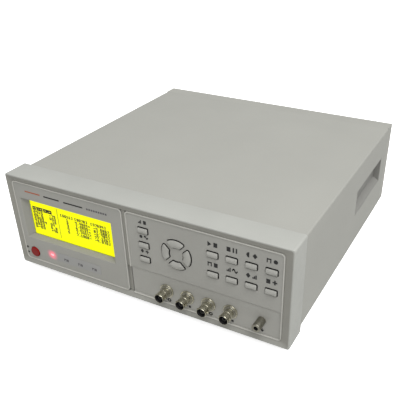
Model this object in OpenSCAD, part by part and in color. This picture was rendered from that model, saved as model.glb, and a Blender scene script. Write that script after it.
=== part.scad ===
// Bench LCR meter: front bezel with two panels, sheet steel case, front keys, jacks and feet.
// Units are millimetres. Origin: centre of the whole outline, on the plane the feet stand on.
// X to the right seen from the front, front faces -Y, Z up.

/* [Case] */
// overall width of the front bezel
width = 310; // [300:1:320]
// height of the front bezel
face_height = 105; // [100:1:110]
// depth from the bezel face to the back of the rear frame
depth = 313; // [300:1:330]
// height of the bezel above the table
foot_gap = 8; // [6:0.5:12]
// depth of the front bezel
bezel_depth = 27; // [22:1:32]
// how far the case sides lie inside the bezel sides
side_inset = 2.05; // [1:0.05:4]
// how far the case top lies below the bezel top
top_inset = 3.8; // [2:0.1:6]
// how far the case bottom lies above the bezel bottom
bottom_inset = 3.9; // [2:0.1:6]
// thickness of the sheet steel
sheet = 1.2; // [0.8:0.1:2]
// depth of the moulded rear frame
rear_depth = 17; // [12:1:22]

/* [Front panels] */
// depth of the panel faces behind the bezel face
panel_face = 1.8; // [1:0.1:4]
// depth of the back of both panels
panel_back = 4.8; // [4:0.1:7]
// corner radius of the panels
panel_radius = 4; // [2:0.5:8]
// right edge of the display panel, from the left of the bezel
left_panel_end = 140; // [130:0.5:150]
// left edge of the key panel
right_panel_start = 143.8; // [140:0.5:155]
// height where the key panel steps back to the jack field
jack_field_top = 38; // [34:0.5:42]

/* [Display] */
// visible glass width
lcd_width = 102.5; // [95:0.5:108]
// visible glass height
lcd_height = 39.5; // [35:0.5:45]
// left edge of the visible glass
lcd_left = 19.7; // [15:0.1:25]
// lower edge of the visible glass
lcd_low = 37.1; // [30:0.1:42]
// depth of the back of the window funnel
funnel_back = 6.4; // [5:0.1:9]

/* [Keys] */
// width of a small key
key_width = 10.4; // [9:0.1:13]
// height of a small key
key_height = 5.8; // [5:0.1:9]
// depth of the key crests behind the bezel face
key_crest = -0.3; // [-1:0.1:1]
// how far the crest of a key rises above its edges
key_rise = 1.3; // [0.8:0.1:2]
// key travel
key_travel = 0.5; // [0.2:0.05:1]
// gap between a key and its opening
key_gap = 0.85; // [0.3:0.05:0.9]
// outer radius of the arrow key ring
nav_outer = 15.4; // [14:0.1:20]
// inner radius of the arrow key ring
nav_inner = 7.6; // [5:0.1:9]
// gap between neighbouring arrow keys
nav_split = 4.8; // [3:0.1:6]
// corner radius of the arrow keys
nav_corner = 1.2; // [0.8:0.1:1.6]

/* [Jacks] */
// spacing of the four coaxial jacks
jack_pitch = 22.5; // [20:0.5:24]
// centre of the first jack, from the left of the bezel
jack_first = 183.7; // [180:0.1:190]
// height of the jack centres above the bezel bottom
jack_height = 20.9; // [18:0.1:26]
// how far a jack stands in front of its panel
jack_reach = 14.5; // [10:0.5:18]

/* [Hidden] */
$fn = 64;
field_face = panel_face + 0.6;
x0 = -width / 2;
y0 = -(depth + field_face - jack_reach) / 2;
z0 = foot_gap;
case_top = face_height - top_inset;
case_right = width - side_inset;
rear_start = depth - rear_depth;
nav_u = 197.1;
nav_v = 65.8;
nav_mid = (nav_outer + nav_inner) / 2;
button_u = 18.8;
button_v = 16.2;
button_top = 0.6;
panel_fit = 0.05;
rim_depth = 1.8;
lip_rise = 0.7;
lip_width = 1.2;
bar_face = 2.3;
bar_low_face = 3.4;
post_u = 281.9;
post_v = 22.2;
lamp_us = [43, 61, 79.2, 97.3];
lamp_v = 18.6;
grip_d0 = 185.6;
grip_d1 = 279;
grip_v0 = 41.7;
grip_v1 = 68.9;
grip_depth = 7;
board_v = 16;
steel_c = [0.72, 0.72, 0.7];
plastic_c = [0.76, 0.76, 0.73];
panel_c = [0.6, 0.59, 0.57];
board_c = [0.1, 0.35, 0.2];
metal_c = [0.66, 0.65, 0.6];
dark_c = [0.12, 0.12, 0.12];

// ---- helpers: u from the bezel's left edge, d from its face, v from its bottom ----

module box(u0, u1, d0, d1, v0, v1)
  translate([x0 + u0, y0 + d0, z0 + v0])
    cube([u1 - u0, d1 - d0, v1 - v0]);

module round_rect(w, h, r) {
  translate([r, 0]) square([w - 2 * r, h]);
  translate([0, r]) square([w, h - 2 * r]);
  for (x = [r, w - r])
    for (y = [r, h - r])
      translate([x, y]) circle(r = r);
}

// outline drawn in the u, v plane and pulled from depth d0 to depth d1
module face(d0, d1)
  translate([x0, y0 + d1, z0])
    rotate([90, 0, 0])
      linear_extrude(height = d1 - d0)
        children();

module face_rect(u0, u1, v0, v1, r, d0, d1)
  face(d0, d1)
    translate([u0, v0])
      round_rect(u1 - u0, v1 - v0, r);

module rod(u, v, r, d0, d1)
  translate([x0 + u, y0 + d1, z0 + v])
    rotate([90, 0, 0])
      cylinder(r = r, h = d1 - d0);

module upright(u, d, r, v0, v1)
  translate([x0 + u, y0 + d, z0 + v0])
    cylinder(r = r, h = v1 - v0);

// rectangle at depth d0 (a) shrinking to another at depth d1 (b), flat sloped sides
module funnel(au0, au1, av0, av1, d0, bu0, bu1, bv0, bv1, d1)
  intersection() {
    translate([x0, y0, z0 - 20])
      linear_extrude(height = face_height + 40)
        polygon([[au0, d0], [au1, d0], [bu1, d1], [bu0, d1]]);
    translate([x0 - 20, y0, z0])
      rotate([90, 0, 90])
        linear_extrude(height = width + 40)
          polygon([[d0, av0], [d1, bv0], [d1, bv1], [d0, av1]]);
  }

// outline drawn in the d, v plane and pulled from u0 to u1
module side_face(u0, u1)
  translate([x0 + u0, y0, z0])
    rotate([90, 0, 90])
      linear_extrude(height = u1 - u0)
        children();

// arrow key outline with round corners, a = 0 up, 270 right, 180 down, 90 left; g grows it
module nav_outline(a, g) {
  outer = nav_outer + g;
  inner = nav_inner - g;
  r = nav_corner + g;
  edge = nav_split / 2 - g;
  y = edge + r;
  xo = sqrt(pow(outer - r, 2) - y * y);
  xi = sqrt(pow(inner + r, 2) - y * y);
  // the same two corner centres seen with the key pointing up
  c = sqrt(0.5);
  ui = (xi - y) * c;
  vi = (xi + y) * c;
  uo = (xo - y) * c;
  vo = (xo + y) * c;
  translate([nav_u, nav_v])
    rotate(a) {
      intersection() {
        difference() {
          circle(r = outer);
          circle(r = inner);
        }
        polygon([[0, 0], [ui, vi], [uo, vo], [3 * uo, 3 * vo], [-3 * uo, 3 * vo], [-uo, vo], [-ui, vi]]);
      }
      for (m = [0, 1])
        mirror([m, 0])
          rotate(45) {
            translate([xi, edge]) square([xo - xi, r + 0.01]);
            translate([xo, y]) circle(r = r);
            translate([xi, y]) circle(r = r);
          }
    }
}

// small key centres
function key_a(i) = [234.3 + 18.6 * i, 77.3];
function key_b(i) = [234.3 + 18.6 * i, 56.5];
function key_side(i) = [162.5, 81.7 - 15.6 * i];

// radius of a ridge that rises by key_rise over the given half width
function crown(half) = (half * half + key_rise * key_rise) / (2 * key_rise);

module small_key(c) {
  ridge = crown(key_height / 2);
  color(panel_c) {
    intersection() {
      face_rect(c[0] - key_width / 2, c[0] + key_width / 2,
                c[1] - key_height / 2, c[1] + key_height / 2, 1.2, key_crest - 1, 3.3);
      translate([x0 + c[0] - 10, y0 + key_crest + ridge, z0 + c[1]])
        rotate([0, 90, 0])
          cylinder(r = ridge, h = 20);
    }
    face_rect(c[0] - key_width / 2 - 1.3, c[0] + key_width / 2 + 1.3,
              c[1] - key_height / 2 - 1.3, c[1] + key_height / 2 + 1.3, 1, 3.3, 4.1);
    rod(c[0], c[1], 1.6, 4.1, 5.5);
  }
}

module small_key_opening(c) {
  face_rect(c[0] - key_width / 2 - key_gap, c[0] + key_width / 2 + key_gap,
            c[1] - key_height / 2 - key_gap, c[1] + key_height / 2 + key_gap, 1.4, 0, 6);
  face_rect(c[0] - key_width / 2 - 1.7, c[0] + key_width / 2 + 1.7,
            c[1] - key_height / 2 - 1.7, c[1] + key_height / 2 + 1.7, 1, 3.2, 6);
}

module arrow_key(a) {
  ridge = crown((nav_outer - nav_inner) / 2);
  color(panel_c) {
    intersection() {
      face(key_crest - 1, 3.3) nav_outline(a, 0);
      translate([x0 + nav_u, y0 + key_crest + ridge, z0 + nav_v])
        rotate([90, 0, 0])
          rotate_extrude()
            translate([nav_mid, 0])
              circle(r = ridge);
    }
    face(3.3, 4.1) nav_outline(a, 1);
    rod(nav_key(a)[0], nav_key(a)[1], 1.6, 4.1, 5.5);
  }
}

function nav_key(a) = [nav_u - nav_mid * sin(a), nav_v + nav_mid * cos(a)];
function all_keys() = concat([for (i = [0:3]) key_a(i)], [for (i = [0:3]) key_b(i)],
                             [for (i = [0:2]) key_side(i)], [for (a = [0, 90, 180, 270]) nav_key(a)]);

// pan head screw: head seats on depth 0 and reaches -2.2, thread goes to +len
module screw_y(u, v, d, len, dir) {
  translate([x0 + u, y0 + d, z0 + v])
    rotate([dir > 0 ? -90 : 90, 0, 0])
      screw_z(len);
}

module screw_z(len)
  difference() {
    union() {
      translate([0, 0, -2.2]) cylinder(r = 2.8, h = 2.2);
      cylinder(r = 1.4, h = len);
    }
    translate([-1.6, -0.35, -2.3]) cube([3.2, 0.7, 1.2]);
    translate([-0.35, -1.6, -2.3]) cube([0.7, 3.2, 1.2]);
  }

display_posts = [[16, 90.2], [128, 90.2], [34, 26.5], [128, 26.5]];
keypad_posts = [[150, 93], [218, 93], [294, 93], [150, 43], [218, 43], [294, 43]];
main_posts = [[112, 52], [200, 70], [290, 52], [112, 278], [200, 278], [290, 278]];
foot_spots = [[42, 52], [268, 52], [42, 262], [268, 262]];
rear_spots = [[16, 18], [294, 18], [16, 88], [294, 88]];

// ---- front ----

module front_bezel()
  color(plastic_c)
    difference() {
      face_rect(0, width, 0, face_height, 1.6, 0, bezel_depth);
      // hollow behind the front wall
      box(3, width - 3, panel_back, bezel_depth + 1, 3, face_height - 3);
      // rim sloping in to the panels
      funnel(1, width - 1, 1, face_height - 1, -0.01, 5.4, width - 8, 5.4, 98.6, rim_depth);
      face_rect(6 - panel_fit, left_panel_end + panel_fit, 6 - panel_fit, 98 + panel_fit,
                panel_radius, -1, 6);
      face_rect(right_panel_start - panel_fit, width - 8.6 + panel_fit, 6 - panel_fit,
                98 + panel_fit, panel_radius, -1, 6);
      // the bar between the panels lies deeper, most of all beside the jack field
      box(130, 150, -0.1, bar_face, 6.5, 97.5);
      box(130, 150, -0.1, bar_low_face, 6.5, jack_field_top - 1);
    }

module panel_lip(u0, u1, v0, v1, d0, d1)
  face(d0, d1)
    difference() {
      translate([u0, v0]) round_rect(u1 - u0, v1 - v0, panel_radius);
      translate([u0 + lip_width, v0 + lip_width])
        round_rect(u1 - u0 - 2 * lip_width, v1 - v0 - 2 * lip_width, panel_radius - lip_width);
    }

module display_panel()
  color(panel_c)
    difference() {
      union() {
        face_rect(6, left_panel_end, 6, 98, panel_radius, panel_face, panel_back);
        panel_lip(6, left_panel_end, 6, 98, panel_face - lip_rise, panel_face);
        box(9.5, 131.5, panel_back, funnel_back, 31.5, 86);
      }
      // window funnel
      funnel(12.5, 126, 33.7, 79.7, panel_face - 0.01,
             lcd_left - 0.6, lcd_left + lcd_width + 0.6, lcd_low - 0.4, lcd_low + lcd_height + 0.6,
             funnel_back + 0.01);
      // power button
      rod(button_u, button_v, 6.15, 0, 8);
      // indicator strip pocket and lamp holes
      face_rect(36, 106, 13.5, 24.5, 1.5, 1, panel_face + 0.5);
      for (u = lamp_us) rod(u, lamp_v, 2.4, 1, 8);
    }

module keypad_panel()
  color(panel_c)
    difference() {
      union() {
        face_rect(right_panel_start, width - 8.6, 6, 98, panel_radius, panel_face, panel_back);
        panel_lip(right_panel_start, width - 8.6, 6, 98, panel_face - lip_rise, panel_face);
      }
      // jack field steps back and in
      box(right_panel_start + 1.4, width - 9.8, 0, field_face, 7.4, jack_field_top);
      box(right_panel_start - 1, right_panel_start + 1.4, 0, panel_back + 1, 0, jack_field_top - 1);
      for (c = concat([for (i = [0:3]) key_a(i)], [for (i = [0:3]) key_b(i)],
                      [for (i = [0:2]) key_side(i)]))
        small_key_opening(c);
      for (a = [0, 90, 180, 270]) face(0, 6) nav_outline(a, key_gap);
      face(3.2, 6)
        translate([nav_u, nav_v])
          difference() {
            circle(r = nav_outer + 1.4);
            circle(r = nav_inner - 1.4);
          }
      for (i = [0:3]) rod(jack_first + jack_pitch * i, jack_height, 4.8, 0, 6);
      rod(post_u, post_v, 3.1, 0, 6);
    }

module front_subpanel()
  color(steel_c)
    difference() {
      box(3.4, width - 3.4, panel_back, panel_back + sheet, 3.9, face_height - 3.4);
      box(9, 132, 4, 8, 31, 86.5);
      rod(button_u, button_v, 6.2, 4, 8);
      for (u = lamp_us) rod(u, lamp_v, 2.6, 4, 8);
      for (c = all_keys()) rod(c[0], c[1], 2.4, 4, 8);
      for (i = [0:3]) rod(jack_first + jack_pitch * i, jack_height, 4.8, 4, 8);
      rod(post_u, post_v, 3.1, 4, 8);
    }

module lcd_frame()
  color(dark_c)
    difference() {
      box(12.5, 129.5, funnel_back + 0.05, 11, 33, 81.5);
      box(lcd_left - 0.2, lcd_left + lcd_width + 0.2, 6, 8, lcd_low - 0.2, lcd_low + lcd_height + 0.2);
      box(14, 128, 7.8, 12, 34, 80.5);
    }

module lcd_glass()
  color([0.95, 0.95, 0.1])
    union() {
      box(lcd_left, lcd_left + lcd_width, 7.3, 7.8, lcd_low, lcd_low + lcd_height);
      box(14.2, 127.8, 7.8, 10.9, 34.2, 80.3);
    }

module display_board()
  color(board_c)
    difference() {
      union() {
        box(12, 134, 11, 12.6, 27, 94);
        box(30, 134, 11, 12.6, 12, 27);
      }
      for (p = display_posts) rod(p[0], p[1], 1.6, 10, 14);
    }

module indicator_strip()
  color([0.5, 0.49, 0.48, 0.8])
    union() {
      face_rect(36.1, 105.9, 13.6, 24.4, 1.4, panel_face - 0.1, panel_face + 0.5);
      for (u = lamp_us) rod(u, lamp_v, 2.2, panel_face + 0.5, 4.4);
    }

module indicator_leds()
  color([0.95, 0.5, 0.55])
    for (u = lamp_us) {
      rod(u, lamp_v, 1.5, 6, 11);
      rod(u, lamp_v, 1.9, 10, 11);
      translate([x0 + u, y0 + 6, z0 + lamp_v]) sphere(r = 1.5);
    }

module keypad_board()
  color(board_c)
    difference() {
      box(147, 298, 9.6, 11.2, 40, 96);
      for (p = keypad_posts) rod(p[0], p[1], 1.6, 9, 12);
    }

module key_switches()
  color(dark_c)
    for (c = all_keys()) {
      box(c[0] - 3, c[0] + 3, 6.7, 9.6, c[1] - 3, c[1] + 3);
      rod(c[0], c[1], 1.7, 6.1, 6.7);
    }

module standoffs()
  color([0.8, 0.75, 0.5]) {
    for (p = display_posts)
      difference() {
        rod(p[0], p[1], 2.6, panel_back + sheet, 11);
        rod(p[0], p[1], 1.5, 6.4, 12);
      }
    for (p = keypad_posts)
      difference() {
        rod(p[0], p[1], 2.6, panel_back + sheet, 9.6);
        rod(p[0], p[1], 1.5, 6.4, 12);
      }
    for (p = main_posts)
      difference() {
        upright(p[0], p[1], 2.8, bottom_inset + sheet, board_v);
        upright(p[0], p[1], 1.5, bottom_inset + sheet + 1, board_v + 1);
      }
  }

module screws()
  color([0.75, 0.75, 0.75]) {
    for (p = display_posts) screw_y(p[0], p[1], 12.6, 5.5, -1);
    for (p = keypad_posts) screw_y(p[0], p[1], 11.2, 4.2, -1);
    for (p = main_posts)
      translate([x0 + p[0], y0 + p[1], z0 + board_v + 1.6])
        mirror([0, 0, 1]) screw_z(6);
    for (p = foot_spots)
      translate([x0 + p[0], y0 + p[1], 8.9]) screw_z(6);
    for (p = rear_spots) screw_y(p[0], p[1], 309, 7, -1);
  }

// ---- jacks ----

module bnc_bodies()
  color(metal_c)
    for (i = [0:3]) {
      u = jack_first + jack_pitch * i;
      tip = field_face - jack_reach;
      difference() {
        union() {
          rod(u, jack_height, 7.25, field_face - 1.4, field_face);
          rod(u, jack_height, 6.2, field_face - 2.6, field_face - 1.4);
          rod(u, jack_height, 4.8, tip, field_face - 2.6);
          rod(u, jack_height, 4.7, field_face, 15);
          for (s = [-1, 1])
            translate([x0 + u + s * 5.3, y0 + tip + 3.6, z0 + jack_height])
              rotate([0, 90, 0])
                cylinder(r = 1, h = 1.4, center = true);
        }
        rod(u, jack_height, 4.05, tip - 1, tip + 10);
        rod(u, jack_height, 2.35, tip, 16);
      }
    }

module bnc_insulators()
  color(dark_c)
    for (i = [0:3]) {
      u = jack_first + jack_pitch * i;
      tip = field_face - jack_reach;
      difference() {
        rod(u, jack_height, 2.3, tip + 2, 16.5);
        rod(u, jack_height, 1.1, tip + 1, 18);
      }
    }

module bnc_contacts()
  color([0.85, 0.7, 0.3])
    for (i = [0:3]) {
      u = jack_first + jack_pitch * i;
      tip = field_face - jack_reach;
      difference() {
        rod(u, jack_height, 1.05, tip + 2.4, 20);
        rod(u, jack_height, 0.68, tip + 1, tip + 8);
      }
    }

module panel_nuts()
  color(metal_c) {
    for (i = [0:3])
      difference() {
        translate([x0 + jack_first + jack_pitch * i, y0 + 8.6, z0 + jack_height])
          rotate([90, 0, 0]) cylinder(r = 8.1, h = 2.6, $fn = 6);
        rod(jack_first + jack_pitch * i, jack_height, 4.75, 5, 10);
      }
    difference() {
      translate([x0 + post_u, y0 + 8.6, z0 + post_v])
        rotate([90, 0, 0]) cylinder(r = 5.8, h = 2.6, $fn = 6);
      rod(post_u, post_v, 3.05, 5, 10);
    }
  }

module ground_post()
  color(metal_c)
    difference() {
      union() {
        rod(post_u, post_v, 4.2, field_face - 12.5, field_face);
        rod(post_u, post_v, 3, field_face, 14);
      }
      rod(post_u, post_v, 2.05, field_face - 13, field_face - 2.5);
    }

// ---- case ----

module top_cover()
  color(steel_c)
    difference() {
      box(side_inset, case_right, bezel_depth, rear_start, bottom_inset, case_top);
      box(side_inset + sheet, case_right - sheet, bezel_depth - 1, rear_start + 1,
          bottom_inset - 1, case_top - sheet);
      box(-1, width + 1, grip_d0 - 1.4, grip_d1 + 1.4, grip_v0 - 1.4, grip_v1 + 1.4);
    }

module chassis_tray()
  color(steel_c)
    difference() {
      union() {
        box(3.5, width - 3.5, 6, 304.5, bottom_inset, bottom_inset + sheet);
        for (u = [3.5, width - 3.5 - sheet])
          box(u, u + sheet, bezel_depth + 1, rear_start, bottom_inset, 20);
        box(30, width - 30, 6, 6 + sheet, bottom_inset, 11);
        for (u = [9, 287]) box(u, u + 14, 304.5 - sheet, 304.5, bottom_inset, 96);
      }
      for (p = foot_spots) upright(p[0], p[1], 1.5, 0, 10);
      for (p = rear_spots) rod(p[0], p[1], 1.5, 300, 306);
      // ventilation slots
      for (i = [0:7])
        translate([x0 + 130 + 18 * i, y0 + 120, z0 + bottom_inset - 1])
          linear_extrude(height = 4) round_rect(4, 70, 1.9);
    }

module rear_frame()
  color(plastic_c)
    difference() {
      union() {
        difference() {
          box(side_inset, case_right, rear_start, depth, bottom_inset, case_top);
          box(10, 300, rear_start - 1, depth + 1, 12, 93.5);
          box(7, 303, rear_start - 1, 306, bottom_inset + sheet + 0.2, 96.5);
          box(3.2, width - 3.2, rear_start - 1, 304.6, bottom_inset - 1, bottom_inset + sheet + 0.3);
        }
        for (p = rear_spots) box(p[0] - 6.5, p[0] + 6.5, 306, 309, p[1] - 6.5, p[1] + 6.5);
      }
      for (p = rear_spots) rod(p[0], p[1], 1.7, 300, 312);
    }

module rear_panel()
  color(steel_c)
    difference() {
      box(7.3, 302.7, 304.5, 306, bottom_inset + sheet + 0.5, 96);
      box(40.2, 67.8, 300, 308, 19.2, 68.8);
      for (p = rear_spots) rod(p[0], p[1], 1.7, 300, 312);
      box(131.8, 156.2, 300, 308, 21.8, 31.2);
      box(182, 246, 300, 308, 21, 33);
      for (i = [0:12]) face_rect(128 + 11 * i, 132 + 11 * i, 52, 86, 1.9, 303, 308);
    }

// carrying recess moulded as a shallow cup: sloping floor and front end, square roof and back end
module grip_cup() {
  skin = side_inset;
  floor_u = side_inset + grip_depth;
  difference() {
    box(skin + 0.05, floor_u + 1.6, grip_d0 - 1.2, grip_d1 + 1.2, grip_v0 - 1.2, grip_v1 + 1.2);
    intersection() {
      translate([x0, y0 + grip_d1 + 5, z0])
        rotate([90, 0, 0])
          linear_extrude(height = grip_d1 - grip_d0 + 10)
            polygon([[0, grip_v0], [skin, grip_v0], [floor_u, grip_v0 + 4], [floor_u, grip_v1 - 0.5],
                     [skin, grip_v1], [0, grip_v1]]);
      translate([x0, y0, z0])
        linear_extrude(height = face_height)
          polygon([[0, grip_d0], [skin, grip_d0], [floor_u, grip_d0 + 6], [floor_u, grip_d1 - 0.5],
                   [skin, grip_d1], [0, grip_d1]]);
    }
  }
}

module left_grip() color(plastic_c) grip_cup();
module right_grip() color(plastic_c) mirror([1, 0, 0]) grip_cup();

module feet()
  color(dark_c)
    difference() {
      for (p = foot_spots)
        translate([x0 + p[0] - 13, y0 + p[1] - 20, 0])
          linear_extrude(height = z0 + bottom_inset) round_rect(26, 40, 4);
      for (p = foot_spots) {
        translate([x0 + p[0], y0 + p[1], -1]) cylinder(r = 1.6, h = 20);
        translate([x0 + p[0], y0 + p[1], -1]) cylinder(r = 3.1, h = 9.9);
      }
      for (i = [0, 1]) {
        translate([x0 + foot_spots[i][0] - 8.5, y0 + foot_spots[i][1] - 17, -1])
          cube([17, 40, 7.6]);
        translate([x0 + foot_spots[i][0] - 10.5, y0 + foot_spots[i][1] - 14, 4])
          rotate([0, 90, 0]) cylinder(r = 1.3, h = 21);
      }
    }

module tilt_leg(i)
  color(dark_c)
    translate([x0 + foot_spots[i][0], y0 + foot_spots[i][1] - 14, 4]) {
      translate([-8, 0, 0]) rotate([0, 90, 0]) cylinder(r = 2.4, h = 16);
      translate([-10.2, 0, 0]) rotate([0, 90, 0]) cylinder(r = 1.22, h = 20.4);
      translate([-8, 0, -1.8]) cube([16, 29, 3.6]);
      translate([-8, 29, 0]) rotate([0, 90, 0]) cylinder(r = 2.2, h = 16);
    }

module left_tilt_leg() tilt_leg(0);
module right_tilt_leg() tilt_leg(1);

// ---- inside ----

module main_board()
  color(board_c)
    difference() {
      box(106, 298, 46, 284, board_v, board_v + 1.6);
      for (p = main_posts) upright(p[0], p[1], 1.6, board_v - 1, board_v + 3);
    }

module main_chips()
  color(dark_c) {
    box(150, 174, 150, 174, board_v + 1.6, board_v + 4);
    box(190, 204, 150, 164, board_v + 1.6, board_v + 3.6);
    box(215, 229, 150, 164, board_v + 1.6, board_v + 3.6);
    for (i = [0:3])
      box(182 + 22 * i, 197 + 22 * i, 90, 100, board_v + 1.6, board_v + 11.6);
    for (i = [0:4])
      box(182 + 18 * i, 192 + 18 * i, 115, 121, board_v + 1.6, board_v + 3.6);
    box(140, 170, 100, 112, board_v + 1.6, board_v + 5);
  }

module supply_capacitors()
  color([0.15, 0.2, 0.4]) {
    for (i = [0:2]) upright(150 + 24 * i, 250, 9, board_v + 1.6, board_v + 31);
    for (i = [0:3]) upright(228 + 14 * i, 230, 4, board_v + 1.6, board_v + 13);
  }

module heatsink()
  color([0.7, 0.7, 0.72])
    union() {
      box(112, 130, 200, 204, board_v + 1.6, board_v + 36);
      for (i = [0:4]) box(112 + 4 * i, 113.6 + 4 * i, 204, 222, board_v + 1.6, board_v + 36);
      box(116, 126, 195.5, 200, board_v + 8, board_v + 24);
    }

module transformer_core()
  color([0.35, 0.35, 0.36])
    difference() {
      box(30, 92, 205, 255, bottom_inset + sheet, 60);
      for (u = [40.4, 68.3]) box(u, u + 13.3, 203, 257, 16, 48);
    }

module transformer_coil()
  color([0.85, 0.75, 0.3])
    difference() {
      box(41, 81, 195, 265, 16.6, 47.4);
      box(53.6, 68.4, 204, 256, 15, 49);
    }

module coax_leads()
  color(dark_c)
    for (i = [0:3]) {
      u = jack_first + jack_pitch * i;
      rod(u, jack_height, 2, 20, 52);
      box(u - 4, u + 4, 52, 60, board_v + 1.6, board_v + 10);
    }

module ribbon_cables()
  color([0.75, 0.75, 0.72]) {
    side_face(152, 172)
      polygon([[17, 52], [28, 52], [28, 21.6], [58, 21.6], [58, 22.6], [29, 22.6], [29, 53], [17, 53]]);
    box(151, 173, 11.2, 17, 49, 56);
    box(151, 173, 58, 66, board_v + 1.6, board_v + 10);
    side_face(110, 130)
      polygon([[18, 42], [34, 42], [34, 21.6], [58, 21.6], [58, 22.6], [35, 22.6], [35, 43], [18, 43]]);
    box(109, 131, 12.6, 18, 39, 46);
    box(109, 131, 58, 66, board_v + 1.6, board_v + 10);
  }

module elbow(u, d, v, r)
  translate([x0 + u, y0 + d, z0 + v]) sphere(r = r);

module mains_leads()
  color([0.5, 0.3, 0.15])
    for (i = [0, 1]) {
      u = 14.5 + 6 * i;
      v = 22.5 + 5 * i;
      d = 296 - 8 * i;
      rod(u, v, 1.4, 52, d);
      elbow(u, d, v, 1.4);
      translate([x0 + u, y0 + d, z0 + v])
        rotate([0, 90, 0]) cylinder(r = 1.4, h = 40.5 - u);
    }

module power_switch()
  color(dark_c)
    difference() {
      box(button_u - 7, button_u + 7, 26, 52, bottom_inset + sheet, 30);
      rod(button_u, button_v, 2.6, 25, 38);
    }

module power_button()
  color([0.6, 0.12, 0.1])
    union() {
      rod(button_u, button_v, 5.75, button_top, 8);
      rod(button_u, button_v, 2.5, 8, 33);
    }

module power_inlet()
  color(dark_c)
    difference() {
      union() {
        face_rect(38, 70, 17, 71, 2, 306, 309);
        box(40.5, 67.5, 280, 306, 19.5, 68.5);
      }
      face_rect(42.5, 65.5, 22, 40, 2, 292, 310);
      box(42, 66, 286, 310, 45, 63);
    }

module inlet_pins()
  color(metal_c) {
    for (p = [[47, 28], [61, 28], [54, 34]])
      box(p[0] - 1, p[0] + 1, 292, 306, p[1] - 2, p[1] + 2);
  }

module fuse_drawer()
  color(dark_c)
    difference() {
      union() {
        box(42.1, 65.9, 289, 309, 45.1, 62.9);
        box(41, 67, 309, 310.5, 44, 64);
      }
      box(43.6, 64.4, 294, 300.4, 50, 64);
      box(49, 59, 309.9, 312, 60, 66);
    }

module fuse()
  color([0.85, 0.85, 0.85])
    translate([x0 + 44, y0 + 297.2, z0 + 52.8])
      rotate([0, 90, 0]) cylinder(r = 2.6, h = 20);

module serial_port()
  color(metal_c)
    difference() {
      union() {
        box(128, 160, 306, 307, 20, 33);
        face_rect(135, 153, 22.5, 30.5, 2, 307, 312);
        box(132, 156, 296, 306, 22, 31);
      }
      face_rect(135.8, 152.2, 23.3, 29.7, 1.6, 309, 313);
      for (u = [130, 158]) rod(u, 26.5, 1.2, 300, 310);
    }

module handler_port()
  color(metal_c)
    difference() {
      union() {
        box(178, 250, 306, 307.4, 19.5, 34.5);
        face_rect(186, 242, 22.5, 31.5, 2, 307.4, 312);
        box(182.2, 245.8, 294, 306, 21.2, 32.8);
      }
      face_rect(187, 241, 23.5, 30.5, 1.6, 308.6, 313);
      for (u = [180.2, 247.8]) rod(u, 27, 1.2, 300, 310);
    }

module key_side_top() small_key(key_side(0));
module key_side_middle() small_key(key_side(1));
module key_side_low() small_key(key_side(2));
module key_up() arrow_key(0);
module key_left() arrow_key(90);
module key_down() arrow_key(180);
module key_right() arrow_key(270);
module key_a1() small_key(key_a(0));
module key_a2() small_key(key_a(1));
module key_a3() small_key(key_a(2));
module key_a4() small_key(key_a(3));
module key_b1() small_key(key_b(0));
module key_b2() small_key(key_b(1));
module key_b3() small_key(key_b(2));
module key_b4() small_key(key_b(3));

// ---- placing ----
front_bezel();
display_panel();
keypad_panel();
front_subpanel();
lcd_frame();
lcd_glass();
display_board();
indicator_strip();
indicator_leds();
keypad_board();
key_switches();
standoffs();
screws();
bnc_bodies();
bnc_insulators();
bnc_contacts();
panel_nuts();
ground_post();
top_cover();
chassis_tray();
rear_frame();
rear_panel();
left_grip();
right_grip();
main_board();
main_chips();
transformer_core();
transformer_coil();
supply_capacitors();
heatsink();
coax_leads();
ribbon_cables();
mains_leads();
power_switch();
power_inlet();
inlet_pins();
serial_port();
handler_port();
feet();
power_button();
key_side_top();
key_side_middle();
key_side_low();
key_up();
key_right();
key_down();
key_left();
key_a1();
key_a2();
key_a3();
key_a4();
key_b1();
key_b2();
key_b3();
key_b4();
left_tilt_leg();
right_tilt_leg();
fuse_drawer();
fuse();
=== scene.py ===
"""Looks of the bench LCR meter: mouldings, keys, jacks, display, printed marks, materials and studio."""
import math
import random

import bmesh
import bpy
from mathutils import Matrix, Vector


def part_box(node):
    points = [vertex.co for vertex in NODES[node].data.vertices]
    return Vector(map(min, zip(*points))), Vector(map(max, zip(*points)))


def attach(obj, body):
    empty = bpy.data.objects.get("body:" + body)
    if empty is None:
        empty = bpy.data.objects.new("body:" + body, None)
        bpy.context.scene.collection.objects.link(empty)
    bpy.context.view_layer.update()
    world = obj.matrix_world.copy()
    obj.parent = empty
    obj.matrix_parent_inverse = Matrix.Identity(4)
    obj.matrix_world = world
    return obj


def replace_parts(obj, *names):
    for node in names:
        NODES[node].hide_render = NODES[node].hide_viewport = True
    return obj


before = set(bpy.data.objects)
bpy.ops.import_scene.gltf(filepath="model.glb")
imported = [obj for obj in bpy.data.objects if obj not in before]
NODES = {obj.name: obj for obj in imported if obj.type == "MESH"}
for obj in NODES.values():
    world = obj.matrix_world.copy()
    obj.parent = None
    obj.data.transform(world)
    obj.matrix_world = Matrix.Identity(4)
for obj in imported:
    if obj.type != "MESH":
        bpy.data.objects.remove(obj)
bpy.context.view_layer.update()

MM = 0.001
ROOT = "chassis"
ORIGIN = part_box("front_bezel")[0]
WIDTH, BEZEL_DEPTH, FACE_HEIGHT = ((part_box("front_bezel")[1] - ORIGIN) / MM)


# ---------------------------------------------------------------- places

def at(u, d, v):
    """A point u from the bezel's left edge, d behind its face and v above its bottom edge, in mm."""
    return ORIGIN + Vector((u, d, v)) * MM


def span(node):
    """(u0, u1, d0, d1, v0, v1) of a CAD node, in mm from the bezel's front bottom left corner."""
    lo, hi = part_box(node)
    lo, hi = (lo - ORIGIN) / MM, (hi - ORIGIN) / MM
    return lo.x, hi.x, lo.y, hi.y, lo.z, hi.z


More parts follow.
